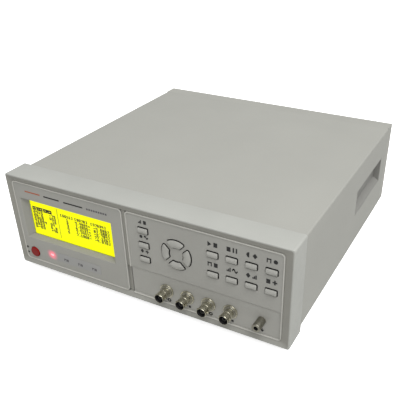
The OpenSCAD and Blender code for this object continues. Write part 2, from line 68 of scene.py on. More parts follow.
def middle(node):
    u0, u1, _, _, v0, v1 = span(node)
    return (u0 + u1) / 2, (v0 + v1) / 2


# ---------------------------------------------------------------- materials

class Nodes:
    """Short forms for building one material's node tree."""

    def __init__(self, name):
        self.material = bpy.data.materials.new(name)
        self.material.use_nodes = True
        self.tree = self.material.node_tree
        self.tree.nodes.clear()
        self.coords = self.add("ShaderNodeTexCoord").outputs["Object"]

    def add(self, kind, **settings):
        node = self.tree.nodes.new(kind)
        for key, value in settings.items():
            setattr(node, key, value)
        return node

    def link(self, source, target):
        self.tree.links.new(source, target)

    def put(self, target, value):
        if isinstance(value, bpy.types.NodeSocket):
            self.link(value, target)
        else:
            target.default_value = value

    def noise(self, size_mm, detail=2.0, stretch=(1, 1, 1), roughness=0.5):
        """Noise whose features are about size_mm across; stretch lengthens them along an axis."""
        mapping = self.add("ShaderNodeMapping")
        mapping.inputs["Scale"].default_value = [1 / (size_mm * MM * s) for s in stretch]
        self.link(self.coords, mapping.inputs["Vector"])
        noise = self.add("ShaderNodeTexNoise")
        noise.inputs["Scale"].default_value = 1.0
        noise.inputs["Detail"].default_value = detail
        noise.inputs["Roughness"].default_value = roughness
        self.link(mapping.outputs["Vector"], noise.inputs["Vector"])
        return noise.outputs["Fac"]

    def cells(self, size_mm, feature="F1"):
        mapping = self.add("ShaderNodeMapping")
        mapping.inputs["Scale"].default_value = [1 / (size_mm * MM)] * 3
        self.link(self.coords, mapping.inputs["Vector"])
        cells = self.add("ShaderNodeTexVoronoi", feature=feature)
        cells.inputs["Scale"].default_value = 1.0
        self.link(mapping.outputs["Vector"], cells.inputs["Vector"])
        return cells.outputs["Distance"]

    def remap(self, value, low, high, to_low, to_high):
        node = self.add("ShaderNodeMapRange")
        for name, number in (("From Min", low), ("From Max", high), ("To Min", to_low), ("To Max", to_high)):
            node.inputs[name].default_value = number
        self.put(node.inputs["Value"], value)
        return node.outputs["Result"]

    def math(self, operation, a, b=0.0):
        node = self.add("ShaderNodeMath", operation=operation)
        self.put(node.inputs[0], a)
        self.put(node.inputs[1], b)
        return node.outputs[0]

    def mix(self, factor, a, b):
        node = self.add("ShaderNodeMix", data_type="RGBA")
        self.put(node.inputs["Factor"], factor)
        self.put(node.inputs["A"], colour4(a) if isinstance(a, tuple) else a)
        self.put(node.inputs["B"], colour4(b) if isinstance(b, tuple) else b)
        return node.outputs["Result"]

    def edges(self, radius_mm):
        """1 on edges and corners, 0 on open surface."""
        bevel = self.add("ShaderNodeBevel", samples=4)
        bevel.inputs["Radius"].default_value = radius_mm * MM
        geometry = self.add("ShaderNodeNewGeometry")
        dot = self.add("ShaderNodeVectorMath", operation="DOT_PRODUCT")
        self.link(bevel.outputs["Normal"], dot.inputs[0])
        self.link(geometry.outputs["Normal"], dot.inputs[1])
        return self.remap(dot.outputs["Value"], 0.98, 0.80, 0.0, 1.0)

    def rounded(self, radius_mm):
        bevel = self.add("ShaderNodeBevel", samples=4)
        bevel.inputs["Radius"].default_value = radius_mm * MM
        return bevel.outputs["Normal"]

    def bump(self, height, depth_mm, strength=1.0, normal=None):
        node = self.add("ShaderNodeBump")
        node.inputs["Strength"].default_value = strength
        node.inputs["Distance"].default_value = depth_mm * MM
        self.link(height, node.inputs["Height"])
        if normal is not None:
            self.link(normal, node.inputs["Normal"])
        return node.outputs["Normal"]

    def finish(self, **inputs):
        shader = self.add("ShaderNodeBsdfPrincipled")
        for name, value in inputs.items():
            value = colour4(value) if isinstance(value, tuple) else value
            self.put(shader.inputs[name.replace("_", " ")], value)
        output = self.add("ShaderNodeOutputMaterial")
        self.link(shader.outputs["BSDF"], output.inputs["Surface"])
        return self.material


def linear(c):
    return c / 12.92 if c <= 0.04045 else ((c + 0.055) / 1.055) ** 2.4


def colour4(c):
    """sRGB 0..1 triple to the linear colour Blender wants."""
    return (*[linear(x) for x in c[:3]], 1.0)


def shade(c, factor):
    return tuple(min(1.0, x * factor) for x in c)


def plastic(name, base, rough=0.5, grain_mm=0.35, grain_depth=0.03, wear_and_sheen=0.35, edge_mm=0.35, gloss=0.4,
            depth_light_and_shade=()):
    """Moulded plastic: fine spark-eroded grain, cloudy tone, edges lighter as rubbed wear, and when set
    strong as a painted highlight.

    Each entry of the depth list is (d where it starts, d where it is full, factor on the base colour); a
    factor above 1 paints a highlight and one below 1 paints shade at that depth.
    """
    n = Nodes(name)
    cloud = n.noise(45, 3)
    grain = n.noise(grain_mm, 2)
    tone = n.mix(cloud, shade(base, 0.965), shade(base, 1.03))
    # Painted light and shade by depth: faces between the given depths take a lighter or darker base.
    for start, full, factor in depth_light_and_shade:
        split = n.add("ShaderNodeSeparateXYZ")
        n.link(n.coords, split.inputs[0])
        mask = n.remap(split.outputs["Y"], at(0, start, 0).y, at(0, full, 0).y, 0.0, 1.0)
        tone = n.mix(mask, tone, shade(base, factor))
    specks = n.remap(n.noise(grain_mm * 1.7, 1), 0.62, 0.72, 0.0, 0.22)
    tone = n.mix(specks, tone, shade(base, 0.86))
    # Lighter edges: rubbed wear, and with the panels' strong setting a painted highlight along their lips.
    worn_and_sheen = n.math("MULTIPLY", n.edges(edge_mm * 1.6), n.remap(n.noise(6, 3), 0.35, 0.7, 0.0, wear_and_sheen))
    tone = n.mix(worn_and_sheen, tone, shade(base, 1.16))
    roughness = n.remap(n.noise(9, 3), 0.3, 0.7, rough - 0.06, rough + 0.07)
    normal = n.bump(grain, grain_depth, 0.5, n.rounded(edge_mm))
    return n.finish(Base_Color=tone, Roughness=roughness, Normal=normal, Specular_IOR_Level=gloss)


def powder_coat(name, base, rough=0.55):
    """Baked texture paint on sheet steel: orange-peel bumps, faint scuffs, chips on the edges."""
    n = Nodes(name)
    peel = n.cells(0.55, "SMOOTH_F1")
    fine = n.noise(0.25, 2)
    cloud = n.noise(70, 3)
    tone = n.mix(cloud, shade(base, 0.975), shade(base, 1.025))
    tone = n.mix(n.remap(peel, 0.2, 0.8, 0.0, 0.3), tone, shade(base, 0.9))
    scuffs = n.remap(n.noise(1.2, 4, (30, 1, 1)), 0.66, 0.74, 0.0, 0.25)
    scuffs = n.math("MULTIPLY", scuffs, n.remap(n.noise(35, 2), 0.5, 0.62, 0.0, 1.0))
    tone = n.mix(scuffs, tone, shade(base, 1.12))
    chips = n.math("MULTIPLY", n.edges(0.5), n.remap(n.noise(3, 4), 0.58, 0.66, 0.0, 0.6))
    tone = n.mix(chips, tone, (0.42, 0.42, 0.42))
    roughness = n.remap(fine, 0.3, 0.7, rough - 0.05, rough + 0.1)
    height = n.math("ADD", n.math("MULTIPLY", peel, 0.7), n.math("MULTIPLY", fine, 0.3))
    normal = n.bump(height, 0.05, 0.55, n.rounded(0.5))
    return n.finish(Base_Color=tone, Roughness=roughness, Normal=normal, Specular_IOR_Level=0.45)


def metal(name, base, rough=0.3, brush=(1, 1, 1), tarnish=0.25, edge_mm=0.2):
    """Plated or bare metal: fine brushing along the stretched axis, tarnish, bright rubbed edges."""
    n = Nodes(name)
    lines = n.noise(0.12, 3, brush)
    cloud = n.noise(4, 4)
    tone = n.mix(n.remap(cloud, 0.4, 0.75, 0.0, tarnish), base, shade(base, 0.55))
    tone = n.mix(n.math("MULTIPLY", n.edges(edge_mm * 2), 0.5), tone, shade(base, 1.25))
    roughness = n.math("ADD", n.remap(lines, 0.3, 0.7, rough - 0.08, rough + 0.1),
                       n.remap(cloud, 0.4, 0.8, 0.0, 0.12))
    normal = n.bump(lines, 0.01, 0.4, n.rounded(edge_mm))
    return n.finish(Base_Color=tone, Roughness=roughness, Metallic=1.0, Normal=normal)


def board_mask(name):
    """Green solder mask over a copper pattern of traces."""
    n = Nodes(name)
    mapping = n.add("ShaderNodeMapping")
    mapping.inputs["Scale"].default_value = [1 / (2.5 * MM)] * 3
    n.link(n.coords, mapping.inputs["Vector"])
    traces = n.add("ShaderNodeTexVoronoi", feature="F1", distance="CHEBYCHEV")
    traces.inputs["Scale"].default_value = 1.0
    n.link(mapping.outputs["Vector"], traces.inputs["Vector"])
    copper = n.remap(traces.outputs["Distance"], 0.42, 0.46, 0.0, 1.0)
    tone = n.mix(copper, (0.05, 0.27, 0.16), (0.12, 0.42, 0.24))
    tone = n.mix(n.remap(n.noise(30, 2), 0.3, 0.7, 0.0, 0.3), tone, (0.03, 0.2, 0.12))
    normal = n.bump(copper, 0.03, 0.5)
    return n.finish(Base_Color=tone, Roughness=n.remap(n.noise(3, 2), 0.3, 0.7, 0.25, 0.4), Normal=normal)


def glow(name, core, edge, strength, size_mm=20):
    """Lit surface whose brightness drifts slightly over its area."""
    n = Nodes(name)
    drift = n.remap(n.noise(size_mm, 2), 0.3, 0.7, 0.0, 1.0)
    tone = n.mix(drift, core, edge)
    return n.finish(Base_Color=shade(core, 0.25), Roughness=0.6, Specular_IOR_Level=0.15, Emission_Color=tone,
                    Emission_Strength=n.remap(n.noise(size_mm * 0.7, 2), 0.3, 0.7,
                                              strength * 0.97, strength * 1.03),
                    Normal=n.bump(n.noise(0.5, 1), 0.01, 0.2))


def lamp_strip(name, base, centre, reach_mm):
    """Smoky lens strip that glows pink round the lit lamp behind it."""
    n = Nodes(name)
    away = n.add("ShaderNodeVectorMath", operation="DISTANCE")
    n.link(n.coords, away.inputs[0])
    away.inputs[1].default_value = centre
    halo = n.remap(away.outputs["Value"], 1.2 * MM, reach_mm * MM, 1.0, 0.0)
    halo = n.math("MULTIPLY", n.math("POWER", halo, 1.6), n.remap(n.noise(2.5, 2), 0.3, 0.7, 0.9, 1.05))
    tone = n.mix(n.noise(12, 2), shade(base, 0.97), shade(base, 1.03))
    return n.finish(Base_Color=n.mix(halo, tone, (0.9, 0.45, 0.5)), Emission_Color=(1.0, 0.42, 0.50),
                    Emission_Strength=n.math("MULTIPLY", halo, 0.75),
                    Roughness=n.remap(n.noise(3, 2), 0.3, 0.7, 0.28, 0.4),
                    Normal=n.bump(n.noise(0.5, 1), 0.01, 0.3))


def ink(name, base):
    """Screen-printed ink: slightly uneven, with tiny pinholes showing a lighter tone."""
    n = Nodes(name)
    tone = n.mix(n.remap(n.noise(0.5, 2), 0.6, 0.75, 0.0, 0.35), base, shade(base, 1.6))
    return n.finish(Base_Color=tone, Roughness=n.remap(n.noise(1.5, 2), 0.3, 0.7, 0.4, 0.6),
                    Normal=n.bump(n.noise(0.3, 1), 0.01, 0.3))


BEZEL = plastic("bezel_plastic", (0.668, 0.672, 0.65), rough=0.5)
# Darker copies of the bezel plastic for the rim sloping in to the panels: painted shade, lighter on the
# bottom rim.
RIM_SHADE = plastic("rim_painted_shade", (0.585, 0.58, 0.553), rough=0.6, gloss=0.25)
LOW_RIM_SHADE = plastic("low_rim_painted_shade", (0.615, 0.612, 0.588), rough=0.6, gloss=0.25)
FRAME = plastic("frame_plastic", (0.636, 0.636, 0.61))
PANEL_TONE = (0.638, 0.635, 0.612)
# Painted highlight: faces standing in front of the panel face (the raised lips) are lightened 1.17 times, for
# the light their rounded tops catch.
LIP_HIGHLIGHT = (1.7, 1.5, 1.17)
# On both panels the edge lightening of 0.9 is a painted highlight on the lip edges, beyond rubbed wear.
PANEL = plastic("panel_plastic", PANEL_TONE, rough=0.52, grain_mm=0.3, edge_mm=0.3, wear_and_sheen=0.9,
                depth_light_and_shade=(LIP_HIGHLIGHT,))
# Painted shade: the display panel's faces deeper than its front (the slopes of the window recess) are
# darkened to 0.93.
DISPLAY_PANEL = plastic("display_panel_plastic", PANEL_TONE, rough=0.55, grain_mm=0.3, edge_mm=0.3, wear_and_sheen=0.9,
                        depth_light_and_shade=(LIP_HIGHLIGHT, (1.85, 2.3, 0.93)))
KEY = plastic("key_plastic", (0.655, 0.653, 0.63), rough=0.42, grain_mm=0.2, grain_depth=0.015, wear_and_sheen=0.5)
COVER = powder_coat("cover_paint", (0.64, 0.64, 0.615))
REAR = powder_coat("rear_paint", (0.66, 0.665, 0.645))
ZINC = metal("zinc_steel", (0.68, 0.69, 0.70), 0.38, (12, 1, 1))
GRIP = plastic("grip_plastic", (0.53, 0.528, 0.511), rough=0.55)
# Painted shade: black put in key gaps, jack bores and the post's bore, where only shade falls.
PAINTED_GAP_SHADE = plastic("gap_painted_shade", (0.07, 0.07, 0.07), rough=0.7)
NICKEL = metal("dull_nickel", (0.78, 0.765, 0.69), 0.2, (1, 1, 6), 0.7)
POST = metal("post_nickel", (0.58, 0.57, 0.525), 0.36, (1, 1, 6), 0.45)
SCREW = metal("screw_zinc", (0.75, 0.75, 0.74), 0.3)
GOLD = metal("gold_flash", (0.86, 0.70, 0.38), 0.25)
CONTACT = metal("dull_contact", (0.20, 0.19, 0.17), 0.45, (1, 1, 6), 0.5)
SHELL = metal("connector_shell", (0.72, 0.72, 0.70), 0.3, (8, 1, 1))
BLACK = plastic("black_plastic", (0.10, 0.10, 0.10), 0.45, wear_and_sheen=0.2)
BOARD = board_mask("circuit_board")
CORE = metal("core_laminations", (0.32, 0.32, 0.33), 0.5, (1, 14, 1), 0.5)
COIL = plastic("coil_tape", (0.80, 0.68, 0.28), 0.35, grain_mm=1.2)
SLEEVE = plastic("capacitor_sleeve", (0.10, 0.13, 0.28), 0.25)
ALUMINIUM = metal("heatsink_aluminium", (0.72, 0.72, 0.74), 0.4, (1, 1, 14))
CABLE = plastic("black_jacket", (0.07, 0.07, 0.07), 0.55)
RIBBON = plastic("grey_ribbon", (0.62, 0.62, 0.62), 0.45)
BROWN = plastic("brown_insulation", (0.33, 0.18, 0.09), 0.4)
RUBBER = plastic("foot_rubber", (0.13, 0.13, 0.13), 0.75, grain_mm=0.5, grain_depth=0.06)
LEG = plastic("leg_plastic", (0.14, 0.14, 0.14), 0.5)
RED = plastic("button_red", (0.53, 0.05, 0.03), 0.36, grain_mm=0.6, grain_depth=0.006, wear_and_sheen=0.3, gloss=0.22)
LAMP_U, LAMP_V = 42.7, 19.4
SMOKE = lamp_strip("smoke_strip", (0.615, 0.615, 0.61), at(LAMP_U, 1.7, LAMP_V), 8.0)
FUSE_GLASS = plastic("fuse_glass", (0.80, 0.82, 0.82), 0.12)
LCD = glow("lcd_yellow", (1.0, 1.0, 0.0), (0.98, 1.0, 0.03), 1.0)
LAMP_ON = glow("lamp_lit", (1.0, 0.58, 0.60), (1.0, 0.44, 0.47), 2.5, 4)
LAMP_OFF = plastic("lamp_unlit", (0.52, 0.49, 0.49), 0.2)
DARK_INK = ink("dark_ink", (0.045, 0.045, 0.05))
GREY_INK = ink("grey_ink", (0.33, 0.325, 0.34))
ORANGE_INK = ink("orange_ink", (0.66, 0.36, 0.24))
PIXEL = ink("lcd_dot", (0.06, 0.07, 0.01))

CAD_MATERIALS = {
    "front_bezel": BEZEL, "display_panel": DISPLAY_PANEL, "keypad_panel": PANEL, "front_subpanel": ZINC,
    "lcd_frame": ZINC, "lcd_glass": LCD, "display_board": BOARD,
    "indicator_strip": SMOKE, "indicator_leds": LAMP_OFF, "keypad_board": BOARD,
    "key_switches": BLACK, "standoffs": GOLD, "screws": SCREW, "bnc_bodies": NICKEL,
    "bnc_insulators": BLACK, "bnc_contacts": CONTACT, "panel_nuts": NICKEL, "ground_post": POST,
    "top_cover": COVER, "chassis_tray": ZINC, "rear_frame": FRAME, "rear_panel": REAR,
    "left_grip": GRIP, "right_grip": GRIP, "main_board": BOARD, "main_chips": BLACK,
    "transformer_core": CORE, "transformer_coil": COIL, "supply_capacitors": SLEEVE,
    "heatsink": ALUMINIUM, "coax_leads": CABLE, "ribbon_cables": RIBBON, "mains_leads": BROWN,
    "power_switch": BLACK, "power_inlet": BLACK, "inlet_pins": GOLD, "serial_port": SHELL,
    "handler_port": SHELL, "feet": RUBBER, "power_button": RED, "left_tilt_leg": LEG,
    "right_tilt_leg": LEG, "fuse_drawer": BLACK, "fuse": FUSE_GLASS,
}


# ---------------------------------------------------------------- mesh helpers

def piece(name, bm, material, body, smooth=True):
    bmesh.ops.recalc_face_normals(bm, faces=bm.faces)
    mesh = bpy.data.meshes.new(name)
    bm.to_mesh(mesh)
    bm.free()
    obj = bpy.data.objects.new(name, mesh)
    bpy.context.scene.collection.objects.link(obj)
    mesh.materials.append(material)
    if smooth:
        mesh.shade_smooth()
        mesh.set_sharp_from_angle(angle=math.radians(40))
    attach(obj, body)
    return obj


def repaint(obj, material, test):
    """Gives the faces whose middle (u, d, v) passes the test a second material."""
    obj.data.materials.append(material)
    for face in obj.data.polygons:
        u, d, v = (face.center - ORIGIN) / MM
        if test(u, d, v):
            face.material_index = len(obj.data.materials) - 1
    return obj


def rect_outline(u0, u1, v0, v1, radius, steps=8):
    """Rounded rectangle, anticlockwise from the lower right corner."""
    points = []
    corners = ((u1, v0, -90), (u1, v1, 0), (u0, v1, 90), (u0, v0, 180))
    for cu, cv, start in corners:
        mu = cu - radius if cu == u1 else cu + radius
        mv = cv - radius if cv == v1 else cv + radius
        for k in range(steps + 1):
            a = math.radians(start + 90 * k / steps)
            points.append((mu + radius * math.cos(a), mv + radius * math.sin(a)))
    return points


def loft(bm, rings, cap_start=True, cap_end=True, close=False):
    """Skins between rings of (u, d, v) points with equal counts."""
    rows = [[bm.verts.new(at(*p)) for p in ring] for ring in rings]
    pairs = list(zip(rows, rows[1:]))
    if close:
        pairs.append((rows[-1], rows[0]))
    count = len(rows[0])
    for a, b in pairs:
        for i in range(count):
            j = (i + 1) % count
            bm.faces.new((a[i], a[j], b[j], b[i]))
    if cap_start and not close:
        bm.faces.new(rows[0])
    if cap_end and not close:
        bm.faces.new(list(reversed(rows[-1])))


def flat_ring(outline, d):
    return [(u, d, v) for u, v in outline]


def lathe(bm, u, v, profile, steps=48, close=False):
    """Turns (radius, depth) points about the axis along the depth through u, v."""
    rings = []
    for r, d in profile:
        ring = []
        for k in range(steps):
            a = 2 * math.pi * k / steps
            ring.append((u + r * math.cos(a), d, v + r * math.sin(a)))
        rings.append(ring)
    loft(bm, rings, close=close)


def slab(bm, u0, u1, d0, d1, v0, v1):
    loft(bm, [[(u0, d, v0), (u1, d, v0), (u1, d, v1), (u0, d, v1)] for d in (d0, d1)])


def stroke(bm, points, width, d, thick=0.04):
    """Printed line through (u, v) points, lying on depth d."""
    for (ua, va), (ub, vb) in zip(points, points[1:]):
        along = Vector((ub - ua, vb - va))
        if along.length < 1e-6:
            continue
        along.normalize()
        side = Vector((-along.y, along.x)) * width / 2
        end = along * width / 2
        a, b = Vector((ua, va)) - end, Vector((ub, vb)) + end
        quad = [a - side, b - side, b + side, a + side]
        loft(bm, [[(p.x, dd, p.y) for p in quad] for dd in (d - thick, d + 0.02)])


def arc_points(u, v, r, start, end, steps=14):
    return [(u + r * math.cos(math.radians(start + (end - start) * k / steps)),
             v + r * math.sin(math.radians(start + (end - start) * k / steps))) for k in range(steps + 1)]


# ---------------------------------------------------------------- case

def blended(a, b, t):
    return [(ua + (ub - ua) * t, va + (vb - va) * t) for (ua, va), (ub, vb) in zip(a, b)]


def front_moulding():
    """Front frame: rounded outside, rim sloping in to the panels, hollow behind, bar between the panels."""
    left, right = span("display_panel"), span("keypad_panel")
    gap = 0.05

    def inset(depth_in, radius):
        return rect_outline(depth_in, WIDTH - depth_in, depth_in, FACE_HEIGHT - depth_in, radius)

    opening = rect_outline(left[0] - gap, right[1] + gap, left[4] - gap, left[5] + gap, 4.0)
    brow = inset(1.5, 2.2)
    rings = [(inset(0.35, 2.0), BEZEL_DEPTH), (inset(0.08, 2.2), BEZEL_DEPTH - 0.12),
             (inset(0, 2.2), BEZEL_DEPTH - 0.4), (inset(0, 2.2), 1.4), (inset(0.06, 2.2), 0.9),
             (inset(0.25, 2.2), 0.45), (inset(0.6, 2.2), 0.14), (inset(1.0, 2.2), 0.02), (brow, 0.12)]
    rings += [(blended(brow, opening, t), 0.12 + (1.8 - 0.12) * t) for t in (0.25, 0.5, 0.75, 0.96)]
    rings += [(opening, 1.9), (opening, 4.8), (inset(3, 1.5), 4.8), (inset(3, 1.5), BEZEL_DEPTH - 0.2),
              (inset(2.8, 1.5), BEZEL_DEPTH)]
    bm = bmesh.new()
    loft(bm, [flat_ring(outline, d) for outline, d in rings], close=True)
    u0, u1 = left[1] + gap, right[0] - gap
    slab(bm, u0, u1, 2.3, 4.8, 37.0, left[5])
    slab(bm, u0, u1, 3.4, 4.8, left[4], 37.0)
    # Painted shade: the rim faces take the darker rim plastic, and the bottom rim a less dark copy.
    frame_piece = repaint(piece("front_moulding", bm, BEZEL, ROOT), RIM_SHADE,
                          lambda u, d, v: d < 4.9 and min(u, WIDTH - u, v, FACE_HEIGHT - v) > 1.9)
    repaint(frame_piece, LOW_RIM_SHADE, lambda u, d, v: d < 4.9 and 1.9 < v < 6 and 1.9 < u < WIDTH - 1.9)
    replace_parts(frame_piece, "front_bezel")


def bent_path(u0, u1, v0, v1, radius, stops, steps=6):
    """Up the left side, over the top and down the right side, with round bends."""
    left = [(u0, v0)] + [(u0, v) for v in stops] + [(u0, v1 - radius)]
    bend = [(u0 + radius - radius * math.cos(a), v1 - radius + radius * math.sin(a))
            for a in (math.pi / 2 * k / steps for k in range(1, steps))]
    half = left + bend + [(u0 + radius, v1)]
    return half + [(u1 + u0 - u, v) for u, v in reversed(half)]


def sheet_cover():
    """Folded sheet cover: round bends, raw sheet edges, a window in each side for the carrying recess."""
    u0, u1, d0, d1, v0, v1 = span("top_cover")
    sheet = 1.2
    recess = span("right_grip")
    stops = [recess[4] - 0.2, recess[5] + 0.2]
    cuts = [recess[2] - 0.2, recess[3] + 0.2]
    outer = bent_path(u0, u1, v0, v1, 1.9, stops)
    inner = bent_path(u0 + sheet, u1 - sheet, v0, v1 - sheet, 0.7, stops)
    depths = [d0, cuts[0], cuts[1], d1]
    windows = {(1, 1), (len(outer) - 3, 1)}
    bm = bmesh.new()
    grid = [[[bm.verts.new(at(u, d, v)) for d in depths] for u, v in path] for path in (outer, inner)]
    cells = {(i, j) for i in range(len(outer) - 1) for j in range(3)} - windows
    for i, j in sorted(cells):
        for side in grid:
            bm.faces.new((side[i][j], side[i + 1][j], side[i + 1][j + 1], side[i][j + 1]))
        beside = (
            ((i - 1, j), (i, j), (i, j + 1)),
            ((i + 1, j), (i + 1, j), (i + 1, j + 1)),
            ((i, j - 1), (i, j), (i + 1, j)),
            ((i, j + 1), (i, j + 1), (i + 1, j + 1)),
        )
        for neighbour, (ai, aj), (bi, bj) in beside:
            if neighbour not in cells:
                bm.faces.new((grid[0][ai][aj], grid[0][bi][bj], grid[1][bi][bj], grid[1][ai][aj]))
    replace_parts(piece("folded_cover", bm, COVER, ROOT), "top_cover")


# ---------------------------------------------------------------- keys

FLANGE_MM = {"small": 1.3, "arrow": 1.0}
CREST_D, RISE = span("key_a1")[2], 1.3
RING_OUTER, RING_INNER, RING_SPLIT, RING_CORNER = 15.4, 7.6, 4.8, 1.2
WALL_D = 1.2


def dome(offset, half):
    """Depth of a key's front surface at a distance from its crest line."""
    radius = (half * half + RISE * RISE) / (2 * RISE)
    return CREST_D + radius - math.sqrt(max(0.0, radius * radius - offset * offset))


def key_rings(outline, flange, surface, shrink):
    """Rings of one key: flange behind the panel, walls, rounded edge, domed front."""
    def raised(points, lift):
        return [(u, surface(u, v) + lift, v) for u, v in points]

    rings = [flat_ring(outline(flange), 4.1), flat_ring(outline(flange), 3.3), flat_ring(outline(0), 3.3),
             flat_ring(outline(0), WALL_D), raised(outline(0), 0.5), raised(outline(-0.08), 0.2),
             raised(outline(-0.25), 0.05), raised(outline(-0.5), 0.0)]
    for t in (0.88, 0.72, 0.56, 0.4, 0.24, 0.1):
        rings.append(raised(shrink(outline(-0.5), t), 0.0))
    return rings


def finish_cap(name, bm):
    """Makes the cap piece of a key, with walls and flange behind its front painted black as the shade of its
    gap.
    """
    cap = piece(name + "_cap", bm, KEY, name)
    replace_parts(repaint(cap, PAINTED_GAP_SHADE, lambda u, d, v: d > WALL_D), name)


def small_key(name):
    u0, u1, _, _, v0, v1 = span(name)
    cu, cv = (u0 + u1) / 2, (v0 + v1) / 2
    half_w = (u1 - u0) / 2 - FLANGE_MM["small"]
    half_h = (v1 - v0) / 2 - FLANGE_MM["small"]

    def outline(g):
        w, h = half_w + g, half_h + g
        return rect_outline(cu - w, cu + w, cv - h, cv + h, 1.2 + g * 0.6, 5)

    def shrink(points, t):
        return [(cu + (u - cu) * (0.7 + 0.3 * t), cv + (v - cv) * t) for u, v in points]

    bm = bmesh.new()
    loft(bm, key_rings(outline, FLANGE_MM["small"], lambda u, v: dome(v - cv, half_h), shrink))
    stem = span(name)[3]
    lathe(bm, cu, cv, [(1.6, 4.05), (1.6, stem)], 20)
    finish_cap(name, bm)


def arrow_outline(cu, cv, turn, g):
    """Quarter ring with round corners, pointing up before it is turned."""
    outer, inner, edge, r = RING_OUTER + g, RING_INNER - g, RING_SPLIT / 2 - g, RING_CORNER + g
    y = edge + r
    c = math.sqrt(0.5)
    far, near = math.sqrt((outer - r) ** 2 - y * y), math.sqrt((inner + r) ** 2 - y * y)
    far, near = ((far - y) * c, (far + y) * c), ((near - y) * c, (near + y) * c)
    far_angle, near_angle = (math.degrees(math.atan2(p[1], p[0])) for p in (far, near))
    points = arc_points(*far, r, -45, far_angle, 4)
    points += arc_points(0, 0, outer, far_angle, 180 - far_angle, 18)[1:]
    points += arc_points(-far[0], far[1], r, 180 - far_angle, 225, 4)[1:]
    points += arc_points(-near[0], near[1], r, 225, 360 - near_angle, 4)
    points += arc_points(0, 0, inner, 180 - near_angle, near_angle, 10)[1:]
    points += arc_points(*near, r, 180 + near_angle, 315, 4)[1:]
    cos, sin = math.cos(math.radians(turn)), math.sin(math.radians(turn))
    return [(cu + x * cos - y * sin, cv + x * sin + y * cos) for x, y in points]


def arrow_key(name, cu, cv, turn):
    mid = (RING_OUTER + RING_INNER) / 2
    middle_angle = math.radians(turn + 90)

    def surface(u, v):
        return dome(math.hypot(u - cu, v - cv) - mid, (RING_OUTER - RING_INNER) / 2)

    def shrink(points, t):
        result = []
        for u, v in points:
            rho = mid + (math.hypot(u - cu, v - cv) - mid) * t
            phi = math.atan2(v - cv, u - cu) - middle_angle
            phi = (phi + math.pi) % (2 * math.pi) - math.pi
            phi = middle_angle + phi * (0.8 + 0.2 * t)
            result.append((cu + rho * math.cos(phi), cv + rho * math.sin(phi)))
        return result

    bm = bmesh.new()
    loft(bm, key_rings(lambda g: arrow_outline(cu, cv, turn, g), FLANGE_MM["arrow"], surface, shrink))
    lathe(bm, cu + mid * math.cos(middle_angle), cv + mid * math.sin(middle_angle),
          [(1.6, 4.05), (1.6, span(name)[3])], 20)
    finish_cap(name, bm)


def keys():
    for name in NODES:
        if name.startswith(("key_side", "key_a", "key_b")):
            small_key(name)
    across, up = span("key_left"), span("key_down")
    cu, cv = (across[0] + span("key_right")[1]) / 2, (up[4] + span("key_up")[5]) / 2
    for name, turn in (("key_up", 0), ("key_left", 90), ("key_down", 180), ("key_right", 270)):
        arrow_key(name, cu, cv, turn)


def button():
    u, v = middle("power_button")
    _, _, front, back, _, _ = span("power_button")
    bm = bmesh.new()
    lathe(bm, u, v, [(2.5, back), (2.5, 8), (5.75, 8), (5.75, front + 1.0), (5.68, front + 0.62),
                     (5.45, front + 0.3), (5.05, front + 0.1), (4.4, front + 0.03), (3.0, front + 0.0),
                     (1.5, front + 0.0), (0.4, front + 0.0)])
    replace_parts(piece("button_cap", bm, RED, "power_button"), "power_button")


# ---------------------------------------------------------------- jacks

def jack_centres():
    """Centres of the four jacks, from the bodies' outline: flange radius 7.25."""
    u0, u1, _, _, v0, v1 = span("bnc_bodies")
    first, last, v = u0 + 7.25, u1 - 7.25, (v0 + v1) / 2
    return [(first + (last - first) * k / 3, v) for k in range(4)]


def jacks():
    """Shells with washer, nut, barrel and two bayonet pins each, and the insulators in them."""
    _, _, tip, back, _, _ = span("bnc_bodies")
    panel = 2.4
    bm = bmesh.new()
    for u, v in jack_centres():
        washer = [(7.1, panel), (7.25, panel - 0.15), (7.25, panel - 1.1), (7.1, panel - 1.35),
                  (6.75, panel - 1.4), (6.45, panel - 1.3)]
        nut = [(6.2, panel - 1.45), (6.2, panel - 2.3), (6.0, panel - 2.55), (5.2, panel - 2.6),
               (4.8, panel - 2.75)]
        barrel = [(4.8, tip + 7.2), (4.62, tip + 7.0), (4.62, tip + 6.4), (4.8, tip + 6.2), (4.8, tip + 0.5)]
        mouth = [(4.7, tip + 0.15), (4.55, tip), (4.4, tip + 0.05), (4.3, tip + 0.4), (4.05, tip + 1.2)]
        bore = [(4.05, tip + 10), (2.35, tip + 10), (2.35, back)]
        profile = [(4.7, back), (4.7, panel)] + washer + nut + barrel + mouth + bore
        lathe(bm, u, v, profile, 56, close=True)
        for side in (-1, 1):
            rings = []
            for r, along in ((0.85, 6.0), (1.0, 5.85), (1.0, 4.6)):
                rings.append([(u + side * along, tip + 3.6 + r * math.cos(a), v + r * math.sin(a))
                              for a in (2 * math.pi * k / 20 for k in range(20))])
            loft(bm, rings)
    centres = jack_centres()

    def inside(u, d, v):
        return d > tip + 0.06 and min(math.hypot(u - cu, v - cv) for cu, cv in centres) < 4.38

    def collar(u, d, v):
        return panel - 2.9 < d < panel - 1.42 and min(math.hypot(u - cu, v - cv) for cu, cv in centres) < 6.25

    # Painted shade: the inside of each bore is black.
    shells = repaint(piece("jack_shells", bm, NICKEL, ROOT), PAINTED_GAP_SHADE, inside)
    # Painted shade: the nut in front of the washer takes the darker post metal.
    repaint(shells, POST, collar)
    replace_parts(shells, "bnc_bodies")
    _, _, front, back, _, _ = span("bnc_insulators")
    bm = bmesh.new()
    for u, v in jack_centres():
        lathe(bm, u, v, [(1.1, back), (2.3, back), (2.3, front + 0.15), (2.15, front), (1.3, front),
                         (1.1, front + 0.2)], 32, close=True)
    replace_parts(piece("jack_insulators", bm, BLACK, ROOT), "bnc_insulators")


